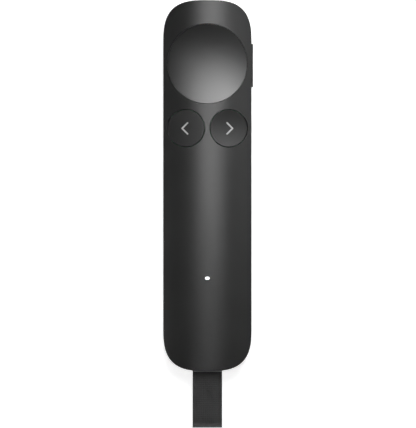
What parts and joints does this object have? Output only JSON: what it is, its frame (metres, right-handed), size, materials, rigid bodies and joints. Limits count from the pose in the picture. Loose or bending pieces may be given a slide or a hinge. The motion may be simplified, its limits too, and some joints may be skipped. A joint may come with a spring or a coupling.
{
  "type": "wireless presentation clicker",
  "caption": "Slim handheld wireless presentation clicker: dished pointer button, back and next keys, side button, status light, plug-in receiver on a strap.",
  "frame": {"origin": "centre of the flat back face that the clicker lies on, below the middle of its body", "axes": "+Z out of the button face, +Y along the body towards the dished pointer button, +X towards the side button; the strap leaves along -Y"},
  "size_m": [0.0305, 0.145, 0.0131],
  "materials": {
    "graphite_shell": "fine moulded satin",
    "graphite_key": "fine moulded satin",
    "dark_key": "satin",
    "arrow_inlay": "satin",
    "frame_plastic": "matte",
    "cap_plastic": "satin",
    "steel": "bright",
    "switch_metal": "satin",
    "switch_stem": "matte",
    "light_white": "clear white",
    "board": "solder mask",
    "chip": "matte epoxy",
    "ceramic": "fired ceramic",
    "battery_foil": "foil pouch",
    "foam": "foam tape",
    "wire": "insulated wire",
    "brass": "turned",
    "lens_glass": "clear",
    "dark_window": "tinted",
    "woven_strap": "woven polyester"
  },
  "bodies": {
    "case": {"top_cover": "graphite_shell", "bottom_cover": "graphite_shell", "inner_frame": "frame_plastic", "case_screws": "steel", "light_pipe": "light_white", "status_led": "light_white", "main_board": "board", "pointer_switch": "switch_metal", "back_switch": "switch_metal", "next_switch": "switch_metal", "side_switch": "switch_metal", "radio_chip": "chip", "shield_can": "steel", "antenna": "ceramic", "crystal": "steel", "power_chip": "chip", "capacitors": "ceramic", "battery": "battery_foil", "battery_pad": "foam", "battery_connector": "ceramic", "battery_lead": "wire", "vibration_motor": "steel", "laser_barrel": "brass", "laser_diode": "switch_metal", "laser_lens": "lens_glass", "laser_window": "dark_window", "charge_socket": "steel", "socket_tongue": "chip", "receiver_bay": "frame_plastic"},
    "pointer": {"pointer_button": "graphite_key", "pointer_stem": "switch_stem"},
    "back_key": {"back_button": "graphite_key", "back_arrow": "arrow_inlay", "back_stem": "switch_stem"},
    "next_key": {"next_button": "graphite_key", "next_arrow": "arrow_inlay", "next_stem": "switch_stem"},
    "side_key": {"side_button": "dark_key", "side_stem": "switch_stem"},
    "receiver": {"receiver_shell": "graphite_shell", "receiver_cap": "cap_plastic", "receiver_plug": "steel", "plug_contacts": "brass", "receiver_board": "board", "receiver_chip": "chip", "strap_pin": "steel"},
    "strap": {"strap": "woven_strap"}
  },
  "joints": [
    {"name": "pointer_press", "type": "slide", "parent": "case", "child": "pointer", "axis": [0, 0, -1], "range_m": [0, 0.0004], "stiffness_N_per_m": 600},
    {"name": "back_press", "type": "slide", "parent": "case", "child": "back_key", "axis": [0, 0, -1], "range_m": [0, 0.0004], "stiffness_N_per_m": 600},
    {"name": "next_press", "type": "slide", "parent": "case", "child": "next_key", "axis": [0, 0, -1], "range_m": [0, 0.0004], "stiffness_N_per_m": 600},
    {"name": "side_press", "type": "slide", "parent": "case", "child": "side_key", "axis": [-1, 0, 0], "range_m": [0, 0.00035], "stiffness_N_per_m": 600},
    {"name": "receiver_pull", "type": "slide", "parent": "case", "child": "receiver", "axis": [0, -1, 0], "range_m": [0, 0.03]},
    {"name": "strap_swing", "type": "hinge", "parent": "receiver", "child": "strap", "pos_m": [0, -0.0592, 0.00763], "axis": [1, 0, 0], "range_deg": [-8, 8], "stiffness_Nm_per_rad": 0.003}
  ]
}
